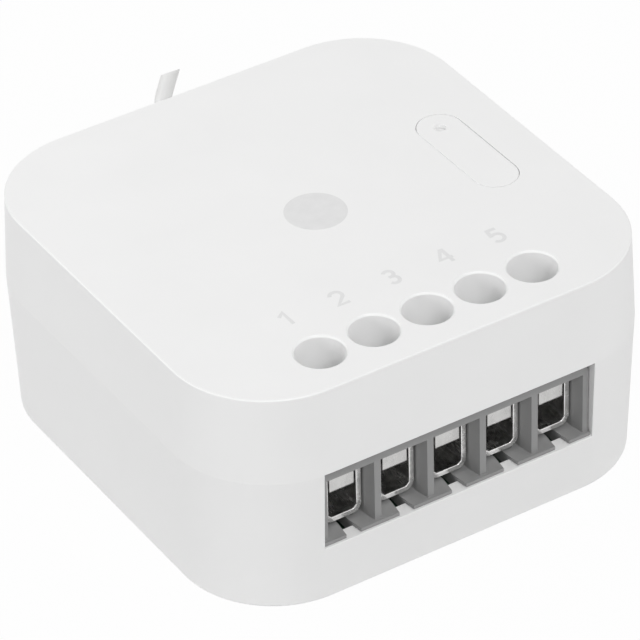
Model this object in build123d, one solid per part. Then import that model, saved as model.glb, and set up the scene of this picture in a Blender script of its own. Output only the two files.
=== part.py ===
from build123d import *
import math
import os

os.makedirs("parts", exist_ok=True)

# Smart relay module for a wall box. Millimetres, +Z up, origin at the centre of the flat base.
# The terminal face looks along -Y. Two drafted shells meet at a seam: the lower case narrows
# downwards and the top cover narrows upwards.

# Case
seam_width = 42.9
lower_height = 13.0
cover_height = 8.0
lower_draft_deg = 2.15
cover_draft_deg = 2.58
corner_inset = 0.67
lower_wall = 1.4
cover_wall = 1.2
floor_thickness = 1.5
roof_thickness = 1.5
outer_edge_cut = 0.2
overrun = 1.0

# Tongue and groove at the seam
tongue_inset = 0.7
tongue_height = 1.0
tongue_gap = 0.1

# Snap arms of the cover
snap_width = 4.0
snap_thickness = 1.0
snap_spacing = 18.0
snap_reach = 4.2
snap_hook_depth = 0.45
snap_hook_height = 1.2
snap_pocket_depth = 0.7
snap_gap = 0.15

# Clearances
seat_gap = 0.05
slide_gap = 0.1
thread_gap = 0.05

# Boards
post_height = 1.3
post_width = 3.0
post_edge = 2.5
locating_pin_radius = 0.7
locating_pin_gap = 0.1
board_thickness = 1.6
board_edge_gap = 0.45
control_thickness = 1.0
control_drop = 4.3
control_front_gap = 0.2
control_corner = 1.0
control_left_share = -0.387
control_right_share = 0.952
control_back_share = 0.8

# Terminal block
terminal_count = 5
terminal_pitch = 5.08
terminal_setback = 0.8
terminal_end_extra = 0.22
terminal_seam_gap = 0.15
terminal_shoulder_depth = 0.7
window_gap = 0.11
window_sill = 5.3
cell_sill = 0.38
cell_lintel_drop = 1.45
rib_width = 0.62
corner_cut_width = 0.45
corner_cut_height = 1.0
chamber_front_wall = 1.25
chamber_back_wall = 0.5
lip_reach = 0.3
notch_width = 0.95
notch_mouth_width = 1.4
notch_flare = 1.65
notch_length = 3.4

# Clamping cages
cage_width = 3.65
cage_sheet = 0.5
cage_side_gap = 0.15
cage_floor_gap = 0.32
cage_lintel_overlap = 0.25
cage_top_thickness = 0.9
cage_low_round = 0.9
cage_inner_cut = 0.3

# Contacts
contact_side_gap = 0.125
contact_sheet = 0.8
contact_tab_sheet = 0.6
contact_rise_share = 0.5455
contact_tab_share = 0.75
contact_pin_width = 1.0
contact_leg_back = 0.5
contact_bend_round = 0.3
clamped_gap = 0.3
solder_tail = 0.9
solder_hole_gap = 0.15

# Clamp screws
screw_setback = 4.05
screw_radius = 1.2
screw_head_radius = 1.95
screw_head_height = 1.3
screw_sunk = 0.15
screw_ledge = 0.5
screw_slot_width = 0.7
screw_slot_depth = 0.7
screw_cross_length = 2.6
screw_well_gap = 0.15

# Screwdriver holes of the cover
access_gap = 0.15
access_rim_cut = 0.16
bar_wall = 0.8
bar_gap = 0.1

# Button
key_side_gap = 6.35
key_y = 0.1
key_width = 3.95
key_length = 12.1
key_gap = 0.09
key_flange = 0.6
key_flange_thickness = 0.6
key_flange_gap = 0.15
key_travel = 0.3
key_foot_width = 1.8
key_foot_height = 0.42
key_foot_shift = -3.2
key_edge_cut = 0.05
guide_radius = 0.5
guide_gap = 0.03
guide_recess = 0.4
guide_collar_width = 2.2
guide_collar_height = 0.5

# Tactile switch and light
tact_width = 4.5
plunger_width = 1.9
plunger_height = 0.5
plunger_sunk = 0.8
plunger_gap = 0.05
led_length = 1.6
led_width = 0.8
led_height = 0.6
led_gap = 0.45

# Board headers
header_spacing = 2.54
header_body = 2.5
header_pin = 0.64
header_pins = 4
header_inset = 1.4
header_end = 1.1

# Places and sizes on the power board. X and widths are shares of the board's half width, Y and
# depths are shares of the bay behind the terminal block. Heights are shares of the room under the
# roof, or of the deck under the control board.
relay_x_share = -0.69
relay_y_share = 0.308
relay_width_share = 0.528
relay_length_share = 0.5585
relay_height_share = 0.815
relay_base_height = 1.4
relay_pin_inset = 1.4
relay_pin_width = 0.8
relay_edge_cut = 0.25
trafo_x_share = 0.136
trafo_y_share = 0.279
trafo_width_share = 0.555
trafo_depth_share = 0.374
trafo_height_share = 0.87
trafo_leg_share = 0.2075
trafo_core_share = 0.458
trafo_flange = 0.8
trafo_winding_gap = 0.1
trafo_winding_cut = 0.5
input_cap_x_share = -0.68
input_cap_y_share = 0.803
input_cap_radius_share = 0.127
input_cap_height_share = 0.78
output_cap_x_share = 0.623
output_cap_y_share = 0.66
output_cap_radius_share = 0.1
output_cap_height_share = 0.74
cap_edge_cut = 0.4
inductor_x_share = -0.188
inductor_y_share = 0.711
inductor_radius_share = 0.1015
inductor_height_share = 0.7
inductor_waist_share = 0.656
inductor_flange = 1.1
varistor_x_share = -0.27
varistor_y_share = 0.895
varistor_radius_share = 0.111
varistor_thickness_share = 0.1
film_x_share = 0.314
film_y_share = 0.908
film_width_share = 0.68
film_depth_share = 0.159
film_height_share = 0.635
film_edge_cut = 0.3
fuse_x_share = 0.167
fuse_y_share = 0.59
fuse_length_share = 0.445
fuse_radius_share = 0.051
fuse_lead_reach = 1.6
lead_width = 0.5
varistor_stand = 0.9
chip_x_share = 0.628
bridge_y_share = 0.133
bridge_length_share = 0.251
bridge_width_share = 0.127
bridge_height = 2.4
opto_y_share = 0.349
opto_length_share = 0.241
opto_width_share = 0.203
opto_height = 3.2
leg_pairs = 2
leg_width = 0.6
leg_thickness = 0.25
leg_reach = 0.7
leg_spacing = 2.54

# Radio module on the control board
radio_x_share = 0.126
radio_y_share = 0.533
radio_width_share = 0.628
radio_length_share = 0.476
radio_thickness = 0.8
shield_side_gap = 1.1
shield_front_gap = 0.5
shield_back_gap = 2.9
shield_height = 1.7
shield_sheet = 0.2

# Aerial wire
aerial_x_share = -0.0245
aerial_radius = 0.72
aerial_core_radius = 0.3
aerial_hole_gap = 0.08
aerial_strip_length = 2.8
aerial_board_gap = 0.3
aerial_stand_off = 1.35
aerial_bend_radius = 1.6
aerial_end_length = 2.22
aerial_lean_deg = 20.0
aerial_snip_deg = 39.0
aerial_snip_turn_deg = 3.0

# Worked-out places of the case and boards
seam_half = seam_width / 2
total_height = lower_height + cover_height
lower_slope = math.tan(math.radians(lower_draft_deg))
cover_slope = math.tan(math.radians(cover_draft_deg))
terminal_half = terminal_count * terminal_pitch / 2 + terminal_end_extra
seam_corner_radius = seam_half - terminal_half + corner_inset
roof_low = total_height - roof_thickness
board_low = floor_thickness + post_height
board_top = board_low + board_thickness
part_low = board_top + seat_gap
board_half = seam_half - lower_height * lower_slope - lower_wall - board_edge_gap
board_corner = seam_corner_radius - (seam_half - board_half)
control_height = roof_low - control_drop
control_top = control_height + control_thickness
room_height = roof_low - board_top
deck_height = control_height - board_top
snap_outer = seam_half - lower_wall - snap_gap

# Worked-out places of the terminals
terminal_front = -seam_half + terminal_setback
screw_y = terminal_front + screw_setback
chamber_width = cage_width + 2 * cage_side_gap
chamber_front = terminal_front + chamber_front_wall
chamber_back = screw_y + (screw_y - chamber_front)
contact_leg_inner = chamber_back + chamber_back_wall
contact_leg_outer = contact_leg_inner + contact_sheet
terminal_back = contact_leg_outer + contact_leg_back
cage_front = chamber_front + slide_gap
cage_back = chamber_back - slide_gap
window_half = terminal_half + window_gap
cell_floor = window_sill + cell_sill
cell_lintel = lower_height - cell_lintel_drop
terminal_shoulder = lower_height - terminal_seam_gap
cage_low = cell_floor + cage_floor_gap
cage_top = cell_lintel + cage_lintel_overlap
cage_inner_low = cage_low + cage_sheet
cage_inner_top = cage_top - cage_top_thickness
contact_width = cage_width - 2 * cage_sheet - 2 * contact_side_gap
contact_height = cage_inner_low + contact_rise_share * (cage_inner_top - cage_inner_low)
contact_top = contact_height + contact_sheet
contact_tab_top = contact_top + contact_tab_share * (cage_inner_top - contact_top)
cage_stroke = contact_height - cage_inner_low - clamped_gap
chamber_ceiling = cage_top + cage_stroke + slide_gap
head_low = chamber_ceiling + screw_ledge + seat_gap
head_top = head_low + screw_head_height
terminal_top = head_top + screw_sunk
access_radius = screw_head_radius + access_gap
bay_depth = board_half - terminal_back

# Worked-out places of the control board and key
control_left = control_left_share * board_half
control_right = control_right_share * board_half
control_front = terminal_back + control_front_gap
control_back = terminal_back + control_back_share * bay_depth
key_x = seam_half - key_side_gap
flange_top = roof_low - key_flange_gap
flange_low = flange_top - key_flange_thickness
guide_y = key_y + (key_length - key_width) / 2
foot_y = key_y + key_foot_shift
foot_low = flange_low - key_foot_height
plunger_top = foot_low - guide_gap
tact_top = plunger_top - plunger_height
header_half = header_pins * header_spacing / 2
aerial_x = aerial_x_share * board_half
radio_top = control_top + radio_thickness
aerial_height = radio_top + aerial_core_radius + seat_gap


def row_places(count, spacing):
    """Places along a centred row."""
    middle = (count - 1) / 2
    return [(number - middle) * spacing for number in range(count)]


def terminal_places():
    """X of each clamping point, from left to right."""
    return row_places(terminal_count, terminal_pitch)


def across(share):
    """X at a share of the board's half width."""
    return share * board_half


def along(share):
    """Y at a share of the bay behind the terminal block."""
    return terminal_back + share * bay_depth


def block(x_low, x_high, y_low, y_high, z_low, z_high):
    """A box between two corners."""
    middle = Pos((x_low + x_high) / 2, (y_low + y_high) / 2, (z_low + z_high) / 2)
    return middle * Box(x_high - x_low, y_high - y_low, z_high - z_low)


def standing(x, y, width, depth, z_low, z_high):
    """A box round a vertical middle line."""
    return block(x - width / 2, x + width / 2, y - depth / 2, y + depth / 2, z_low, z_high)


def upright(x, y, z_low, z_high, radius):
    """A vertical cylinder between two heights."""
    return Pos(x, y, z_low) * Cylinder(radius, z_high - z_low, align=(Align.CENTER, Align.CENTER, Align.MIN))


def stadium(z_low, z_high, width, length):
    """The key's form with round ends, long along Y."""
    return Pos(key_x, key_y, z_low) * extrude(Rot(0, 0, 90) * SlotOverall(length, width), z_high - z_low)


def case_outline(inset):
    """The case outline at the seam, drawn in all round."""
    side = seam_width - 2 * inset
    return RectangleRounded(side, side, seam_corner_radius - inset)


def lower_form(z_low, z_high, inset):
    """A drafted block that follows the lower case, drawn in by a wall."""
    outline = case_outline(inset + (lower_height - z_high) * lower_slope)
    return Pos(0, 0, z_high) * (Rot(180, 0, 0) * extrude(outline, z_high - z_low, taper=lower_draft_deg))


def cover_form(z_low, z_high, inset):
    """A drafted block that follows the top cover, drawn in by a wall."""
    outline = case_outline(inset + (z_low - lower_height) * cover_slope)
    return Pos(0, 0, z_low) * extrude(outline, z_high - z_low, taper=cover_draft_deg)


def snap_places():
    """Side and Y of each snap arm: two a side."""
    return [(side, y) for side in (-1, 1) for y in row_places(2, snap_spacing)]


def side_block(side, near, far, y, width, z_low, z_high):
    """A box on one side of the case, between two distances from the middle."""
    x_low, x_high = sorted((side * near, side * far))
    return block(x_low, x_high, y - width / 2, y + width / 2, z_low, z_high)


def post_places():
    """The four posts under the corners of the power board."""
    reach = board_half - board_corner + (board_corner - post_edge) * math.sqrt(0.5)
    return [(x * reach, y * reach) for x in (-1, 1) for y in (-1, 1)]


def pin_places():
    """The two posts with a locating pin, at opposite corners."""
    return [(x, y) for x, y in post_places() if x * y > 0]


def make_lower_case():
    """Lower shell: floor, drafted wall, seam tongue, window, posts and snap pockets."""
    body = lower_form(0, lower_height, 0)
    body = chamfer(body.edges().group_by(Axis.Z)[0], outer_edge_cut)
    body -= lower_form(floor_thickness, lower_height + overrun, lower_wall)
    tongue_top = lower_height + tongue_height
    tongue = cover_form(lower_height, tongue_top, tongue_inset)
    body += tongue - cover_form(lower_height - overrun, tongue_top + overrun, lower_wall)
    body -= block(-window_half, window_half, -seam_half - overrun, chamber_front, window_sill,
                  tongue_top + overrun)
    for x, y in post_places():
        body += standing(x, y, post_width, post_width, floor_thickness, board_low)
    for x, y in pin_places():
        body += upright(x, y, board_low, board_top, locating_pin_radius)
    hook_low = lower_height - snap_reach
    for side, y in snap_places():
        body -= side_block(side, snap_outer - snap_thickness, snap_outer + snap_gap + snap_pocket_depth, y,
                           snap_width + 2 * snap_gap, hook_low - snap_gap, hook_low + snap_hook_height + snap_gap)
    return body


def make_snap_arm(side, y):
    """One flexible arm of the cover with its hook."""
    arm_low = lower_height - snap_reach
    root_low = lower_height + tongue_height + 2 * tongue_gap
    root = side_block(side, snap_outer - snap_thickness, seam_half - cover_wall, y, snap_width, root_low, roof_low)
    arm = side_block(side, snap_outer - snap_thickness, snap_outer, y, snap_width, arm_low, roof_low)
    hook = Polyline(
        (side * snap_outer, arm_low),
        (side * (snap_outer + snap_hook_depth), arm_low + snap_hook_height / 2),
        (side * (snap_outer + snap_hook_depth), arm_low + snap_hook_height),
        (side * snap_outer, arm_low + snap_hook_height),
        close=True,
    )
    return root + arm + Pos(0, y, 0) * extrude(make_face(Plane.XZ * hook), snap_width / 2, both=True)


def make_guide_bar():
    """The bar under the roof whose holes lead a screwdriver down to the screws."""
    low = terminal_top + bar_gap
    reach = terminal_places()[-1] + access_radius + bar_wall
    front = -seam_half + (low - lower_height) * cover_slope + cover_wall / 2
    return block(-reach, reach, front, screw_y + access_radius + bar_wall, low, roof_low + roof_thickness / 2)


def make_top_cover():
    """Top cover: drafted cap, seam groove, screwdriver guide bar, key opening and snap arms."""
    body = cover_form(lower_height, total_height, 0)
    body = chamfer(body.edges().group_by(Axis.Z)[-1], outer_edge_cut)
    body -= cover_form(lower_height - overrun, roof_low, cover_wall)
    body -= cover_form(lower_height - overrun, lower_height + tongue_height + tongue_gap, tongue_inset - tongue_gap)
    for side, y in snap_places():
        body += make_snap_arm(side, y)
    body += make_guide_bar()
    for x in terminal_places():
        body -= upright(x, screw_y, terminal_top - overrun, total_height + overrun, access_radius)
    body = chamfer(rim_edges(body), access_rim_cut)
    body -= stadium(roof_low - overrun, total_height + overrun, key_width + 2 * key_gap, key_length + 2 * key_gap)
    exit_hole = Pos(aerial_x, seam_half - cover_wall, aerial_height) * Rot(90, 0, 0)
    return body - exit_hole * Cylinder(aerial_radius + aerial_hole_gap, 2 * (cover_wall + overrun))


def rim_edges(body):
    """The round top edges of the screwdriver holes."""
    rims = body.edges().filter_by(GeomType.CIRCLE).filter_by_position(Axis.Z, total_height, total_height)
    return [edge for edge in rims if abs(edge.radius - access_radius) < slide_gap]


def make_funnel(x):
    """The tapered mouth of one cell, from the front face to the cage."""
    height = cell_lintel - cell_floor
    middle = (cell_floor + cell_lintel) / 2
    face_plane = Plane(origin=(x, terminal_front, middle), x_dir=(1, 0, 0), z_dir=(0, 1, 0))
    back_plane = Plane(origin=(x, chamber_front, middle), x_dir=(1, 0, 0), z_dir=(0, 1, 0))
    mouth = face_plane * Rectangle(terminal_pitch - rib_width, height)
    throat = back_plane * Rectangle(chamber_width, height)
    return loft([mouth, throat], ruled=True)


def make_notch(x):
    """The slot in one cell's floor, which widens from the cage to its mouth."""
    front = terminal_front - lip_reach
    outline = Polyline(
        (x - notch_mouth_width / 2, front),
        (x - notch_width / 2, front + notch_flare),
        (x - notch_width / 2, front + notch_length),
        (x + notch_width / 2, front + notch_length),
        (x + notch_width / 2, front + notch_flare),
        (x + notch_mouth_width / 2, front),
        close=True,
    )
    low = part_low - overrun
    return Pos(0, 0, low) * extrude(make_face(outline), cell_floor + overrun - low)


def make_corner_cut(side):
    """The step in one end of the terminal block, beside the window's upper corner."""
    outline = Polyline(
        (side * terminal_half, terminal_shoulder - corner_cut_height),
        (side * (terminal_half + overrun), terminal_shoulder - corner_cut_height),
        (side * (terminal_half + overrun), terminal_top + overrun),
        (side * (terminal_half - corner_cut_width), terminal_top + overrun),
        (side * (terminal_half - corner_cut_width), terminal_shoulder),
        close=True,
    )
    length = terminal_back - terminal_front + 2 * overrun
    return Pos(0, terminal_back + overrun, 0) * extrude(make_face(Plane.XZ * outline), length)


def make_cell(x):
    """What one cell takes out of the block: mouth, chamber, notch, screw well and contact slots."""
    cell = make_funnel(x)
    cell += standing(x, (chamber_front + chamber_back) / 2, chamber_width, chamber_back - chamber_front,
                     cell_floor, chamber_ceiling)
    cell += upright(x, screw_y, chamber_ceiling + screw_ledge, terminal_top + overrun,
                    screw_head_radius + screw_well_gap)
    passage = 2 * (screw_radius + screw_well_gap)
    cell += standing(x, screw_y, passage, passage, chamber_ceiling - overrun, terminal_top)
    slot_half = contact_width / 2 + slide_gap
    cell += block(x - slot_half, x + slot_half, chamber_back - overrun, terminal_back + overrun,
                  contact_height - seat_gap, contact_top + seat_gap)
    return cell + block(x - slot_half, x + slot_half, contact_leg_inner - slide_gap, terminal_back + overrun,
                        part_low - overrun, contact_top + seat_gap)


def make_terminal_housing():
    """Terminal block moulded in one piece, open at the front and the top."""
    shoulder_front = terminal_front + terminal_shoulder_depth
    body = block(-terminal_half, terminal_half, terminal_front, terminal_back, part_low, terminal_shoulder)
    body += block(-terminal_half, terminal_half, shoulder_front, terminal_back, terminal_shoulder, terminal_top)
    body += block(-terminal_half, terminal_half, terminal_front - lip_reach, chamber_front, part_low, cell_floor)
    sill_back = -seam_half + (lower_height - window_sill) * lower_slope + lower_wall + slide_gap
    body -= block(-terminal_half - overrun, terminal_half + overrun, terminal_front - lip_reach - overrun, sill_back,
                  part_low - overrun, window_sill + seat_gap)
    for side in (-1, 1):
        body -= make_corner_cut(side)
    for x in terminal_places():
        body -= make_cell(x)
        body -= make_notch(x)
    return body


def make_contact(x):
    """Fixed current bar: tab at the front, plate under the screw, leg and solder pin at the back."""
    leg_low = part_low + seat_gap
    profile = Polyline(
        (cage_front, contact_height),
        (contact_leg_inner, contact_height),
        (contact_leg_inner, leg_low),
        (contact_leg_outer, leg_low),
        (contact_leg_outer, contact_top),
        (cage_front + contact_tab_sheet, contact_top),
        (cage_front + contact_tab_sheet, contact_tab_top),
        (cage_front, contact_tab_top),
        close=True,
    )
    bar = extrude(Pos(x, 0, 0) * make_face(Plane.YZ * profile), contact_width / 2, both=True)
    bend = bar.edges().filter_by(Axis.X).filter_by_position(Axis.Y, cage_front, cage_front)
    bar = fillet(bend.sort_by(Axis.Z)[0], contact_bend_round)
    half = contact_pin_width / 2
    return bar + block(x - half, x + half, contact_leg_inner, contact_leg_outer, board_low - solder_tail, leg_low)


def make_cage(x):
    """Bent clamping cage with the tapped top that climbs the screw."""
    depth = cage_back - cage_front
    height = cage_top - cage_low
    outline = Pos(x, cage_low + height / 2) * Rectangle(cage_width, height)
    outline = fillet(outline.vertices().group_by(Axis.Y)[0], cage_low_round)
    inner_height = cage_inner_top - cage_inner_low
    opening = Pos(x, cage_inner_low + inner_height / 2) * Rectangle(cage_width - 2 * cage_sheet, inner_height)
    opening = chamfer(opening.vertices(), cage_inner_cut)
    band = Pos(0, cage_back, 0) * extrude(Plane.XZ * (outline - opening), depth)
    return band - upright(x, screw_y, cage_inner_top - overrun, cage_top + overrun, screw_radius + thread_gap)


def make_screw(x):
    """Clamp screw with a slotted cross head; its tip bears on the contact."""
    head = upright(x, screw_y, head_low, head_top, screw_head_radius)
    slot_low = head_top - screw_slot_depth
    head -= standing(x, screw_y, 2 * (screw_head_radius + overrun), screw_slot_width, slot_low, head_top + overrun)
    head -= standing(x, screw_y, screw_slot_width, screw_cross_length, slot_low, head_top + overrun)
    return head + upright(x, screw_y, contact_top + seat_gap, head_low, screw_radius)


def make_button_key():
    """Key that stands flush in the cover, with a flange under the roof and a foot on the switch."""
    body = stadium(flange_top, total_height, key_width, key_length)
    body = chamfer(body.edges().group_by(Axis.Z)[-1], key_edge_cut)
    body += standing(key_x, key_y, key_width + 2 * key_flange, key_length + 2 * key_flange, flange_low, flange_top)
    body += standing(key_x, foot_y, key_foot_width, key_foot_width, foot_low, flange_low)
    return body - upright(key_x, guide_y, flange_low - overrun, total_height + overrun, guide_radius + guide_gap)


def make_light_guide():
    """Clear pin that brings the light up through the key, with a collar under the key."""
    body = upright(key_x, guide_y, control_top + led_height + led_gap, total_height - guide_recess, guide_radius)
    return body + standing(key_x, guide_y, guide_collar_width, guide_collar_width,
                           flange_low - guide_collar_height, flange_low)


def make_tact_switch():
    """Body of the small switch under the key's foot."""
    body = standing(key_x, foot_y, tact_width, tact_width, control_top, tact_top)
    hole = plunger_width + 2 * plunger_gap
    return body - standing(key_x, foot_y, hole, hole, tact_top - plunger_sunk, tact_top + overrun)


def make_tact_plunger():
    """Moving stem of the switch."""
    low = tact_top - plunger_sunk + key_travel + seat_gap
    return standing(key_x, foot_y, plunger_width, plunger_width, low, plunger_top)


def make_header(x, y):
    """Surface-mounted stacking header: two plastic strips on square pins carry the control board."""
    high = control_height - seat_gap
    strip = standing(x, y, header_body, 2 * header_half, part_low, part_low + header_body)
    strip += standing(x, y, header_body, 2 * header_half, high - header_body, high)
    for place in row_places(header_pins, header_spacing):
        strip += standing(x, y + place, header_pin, header_pin, part_low, high)
    return strip


def relay_pins():
    """Coil pins at one end and contact pins at the other."""
    reach_x = relay_width_share * board_half / 2 - relay_pin_inset
    reach_y = relay_length_share * bay_depth / 2 - relay_pin_inset
    return [(across(relay_x_share) + x * reach_x, along(relay_y_share) + y * reach_y)
            for x in (-1, 1) for y in (-1, 1)]


def make_power_board():
    """Mains board with holes for the posts and slots for the contact and relay pins."""
    outline = RectangleRounded(2 * board_half, 2 * board_half, board_corner)
    body = Pos(0, 0, board_low) * extrude(outline, board_thickness)
    low = board_low - overrun
    high = board_top + overrun
    for x, y in pin_places():
        body -= upright(x, y, low, high, locating_pin_radius + locating_pin_gap)
    pin_y = (contact_leg_inner + contact_leg_outer) / 2
    extra = 2 * solder_hole_gap
    for x in terminal_places():
        body -= standing(x, pin_y, contact_pin_width + extra, contact_sheet + extra, low, high)
    for x, y in relay_pins():
        body -= standing(x, y, relay_pin_width + extra, relay_pin_width + extra, low, high)
    return body


def make_control_board():
    """Upper board for the radio, switch and light."""
    body = block(control_left, control_right, control_front, control_back, control_height, control_top)
    return chamfer(body.edges().filter_by(Axis.Z), control_corner)


def relay_box(z_low, z_high):
    """A box on the relay's outline."""
    width = relay_width_share * board_half
    length = relay_length_share * bay_depth
    return standing(across(relay_x_share), along(relay_y_share), width, length, z_low, z_high)


def make_relay_base():
    """Base plate of the relay with its pins."""
    body = relay_box(part_low, part_low + relay_base_height)
    for x, y in relay_pins():
        body += standing(x, y, relay_pin_width, relay_pin_width, board_low - solder_tail, part_low)
    return body


def make_relay_case():
    """Sealed case of the relay."""
    body = relay_box(part_low + relay_base_height, part_low + relay_height_share * room_height)
    body = chamfer(body.edges().filter_by(Axis.Z), relay_edge_cut)
    return chamfer(body.edges().group_by(Axis.Z)[-1], relay_edge_cut)


# The transformer's outline, and the windows between its legs
trafo_x = across(trafo_x_share)
trafo_y = along(trafo_y_share)
trafo_width = trafo_width_share * board_half
trafo_depth = trafo_depth_share * bay_depth
trafo_leg = trafo_leg_share * trafo_width
trafo_core_depth = trafo_core_share * trafo_depth
trafo_core_low = part_low + trafo_flange
trafo_core_top = part_low + trafo_height_share * deck_height
trafo_window_low = trafo_core_low + trafo_leg
trafo_window_top = trafo_core_top - trafo_leg
trafo_window_reach = trafo_width / 2 - trafo_leg


def make_transformer_foot():
    """Plastic foot that carries the core above the board."""
    return standing(trafo_x, trafo_y, trafo_width, trafo_depth, part_low, trafo_core_low)


def make_transformer_core():
    """Ferrite core: a closed frame with a middle leg."""
    body = standing(trafo_x, trafo_y, trafo_width, trafo_core_depth, trafo_core_low, trafo_core_top)
    window = standing(trafo_x, trafo_y, 2 * trafo_window_reach, trafo_core_depth + 2 * overrun, trafo_window_low,
                      trafo_window_top)
    leg = standing(trafo_x, trafo_y, trafo_leg, trafo_core_depth, trafo_window_low, trafo_window_top)
    return body - window + leg


def make_transformer_winding():
    """Taped winding round the middle leg."""
    gap = trafo_winding_gap
    body = standing(trafo_x, trafo_y, 2 * (trafo_window_reach - gap), trafo_depth - 2 * trafo_flange,
                    trafo_window_low + gap, trafo_window_top - gap)
    body = chamfer(body.edges().filter_by(Axis.Z), trafo_winding_cut)
    return body - standing(trafo_x, trafo_y, trafo_leg + 2 * gap, trafo_core_depth + 2 * gap, trafo_core_low,
                           trafo_core_top)


def make_can(x_share, y_share, radius_share, height):
    """Electrolytic capacitor with a rolled top edge."""
    radius = radius_share * bay_depth
    body = upright(across(x_share), along(y_share), part_low, part_low + height, radius)
    return chamfer(body.edges().group_by(Axis.Z)[-1], cap_edge_cut)


# The drum of the inductor
drum_x = across(inductor_x_share)
drum_y = along(inductor_y_share)
drum_radius = inductor_radius_share * bay_depth
drum_waist = inductor_waist_share * drum_radius
drum_top = part_low + inductor_height_share * deck_height
drum_waist_low = part_low + inductor_flange
drum_waist_top = drum_top - inductor_flange


def make_inductor_core():
    """Drum core: two flanges and a waist."""
    body = upright(drum_x, drum_y, part_low, drum_top, drum_waist)
    body += upright(drum_x, drum_y, part_low, drum_waist_low, drum_radius)
    return body + upright(drum_x, drum_y, drum_waist_top, drum_top, drum_radius)


def make_inductor_coil():
    """Winding in the waist of the drum core."""
    outer = upright(drum_x, drum_y, drum_waist_low + seat_gap, drum_waist_top - seat_gap,
                    (drum_radius + drum_waist) / 2)
    return outer - upright(drum_x, drum_y, drum_waist_low, drum_waist_top, drum_waist + seat_gap)


def make_varistor():
    """Coated disc that stands on the board on two leads."""
    radius = varistor_radius_share * bay_depth
    x = across(varistor_x_share)
    y = along(varistor_y_share)
    disc = Cylinder(radius, varistor_thickness_share * bay_depth)
    body = Pos(x, y, part_low + varistor_stand + radius) * Rot(90, 0, 0) * disc
    for place in row_places(2, leg_spacing):
        body += standing(x + place, y, lead_width, lead_width, part_low, part_low + radius)
    return body


def make_film_capacitor():
    """Boxed film capacitor."""
    body = standing(across(film_x_share), along(film_y_share), film_width_share * board_half,
                    film_depth_share * bay_depth, part_low, part_low + film_height_share * room_height)
    return chamfer(body.edges().group_by(Axis.Z)[-1], film_edge_cut)


def make_fuse_resistor():
    """Fusible resistor lying on the board, with bent leads."""
    x = across(fuse_x_share)
    y = along(fuse_y_share)
    radius = fuse_radius_share * bay_depth
    length = fuse_length_share * board_half
    axis_height = part_low + radius
    body = Pos(x, y, axis_height) * Rot(0, 90, 0) * Cylinder(radius, length)
    lead_half = lead_width / 2
    lead_length = length + 2 * fuse_lead_reach
    body += standing(x, y, lead_length, lead_width, axis_height - lead_half, axis_height + lead_half)
    for place in row_places(2, lead_length - lead_width):
        body += standing(x + place, y, lead_width, lead_width, part_low, axis_height)
    return body


def make_chip(y_share, length_share, width_share, height):
    """Moulded package with gull-wing legs along its two X sides."""
    x = across(chip_x_share)
    y = along(y_share)
    length = length_share * board_half
    body = standing(x, y, length, width_share * bay_depth, part_low + leg_thickness, part_low + height)
    for place in row_places(leg_pairs, leg_spacing):
        body += standing(x, y + place, length + 2 * leg_reach, leg_width, part_low, part_low + 2 * leg_thickness)
    return body


def make_led():
    """Light under the light guide."""
    return standing(key_x, guide_y, led_length, led_width, control_top, control_top + led_height)


# The radio module's outline
radio_x = across(radio_x_share)
radio_y = along(radio_y_share)
radio_width = radio_width_share * board_half
radio_length = radio_length_share * bay_depth


def make_radio_board():
    """Small board of the radio module, soldered flat on the control board."""
    return standing(radio_x, radio_y, radio_width, radio_length, control_top, radio_top)


def make_radio_shield():
    """Folded metal can over the radio chip; the board's back strip stays free for its aerial."""
    half = radio_width / 2 - shield_side_gap
    front = radio_y - radio_length / 2 + shield_front_gap
    back = radio_y + radio_length / 2 - shield_back_gap
    top = radio_top + shield_height
    sheet = shield_sheet
    outer = block(radio_x - half, radio_x + half, front, back, radio_top, top)
    return outer - block(radio_x - half + sheet, radio_x + half - sheet, front + sheet, back - sheet,
                         radio_top - overrun, top - sheet)


def aerial_path():
    """Centre line of the aerial: back through the cover's wall, then a bend upwards."""
    lean = math.radians(aerial_lean_deg)
    upward = Vector(math.sin(lean), 0, math.cos(lean))
    start = Vector(aerial_x, control_back + aerial_board_gap, aerial_height)
    knee = Vector(aerial_x, seam_half + aerial_stand_off, aerial_height)
    turned = knee + Vector(0, aerial_bend_radius, 0) + upward * aerial_bend_radius
    bend = TangentArc(knee, turned, tangent=(0, 1, 0))
    return Line(start, knee) + bend + Line(turned, turned + upward * (aerial_end_length + aerial_radius))


def make_aerial_wire():
    """Insulated aerial wire, snipped on a slant at its free end."""
    path = aerial_path()
    plane = Plane(origin=path @ 0, z_dir=path % 0)
    wire = sweep(plane * Circle(aerial_radius), path)
    tip = path @ 1 - (path % 1) * aerial_radius
    cutter = Pos(tip.X, tip.Y, tip.Z) * Rot(-aerial_snip_deg, aerial_snip_turn_deg, 0)
    side = 6 * aerial_radius
    return wire - cutter * Box(side, side, side, align=(Align.CENTER, Align.CENTER, Align.MIN))


def make_aerial_core():
    """Bared end of the aerial, soldered to the control board."""
    front = control_back + aerial_board_gap
    middle = Pos(aerial_x, front - aerial_strip_length / 2, aerial_height)
    return middle * Rot(90, 0, 0) * Cylinder(aerial_core_radius, aerial_strip_length)


def save(name, shape):
    """Writes one sub-part."""
    export_step(shape, f"parts/{name}.step")


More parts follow.
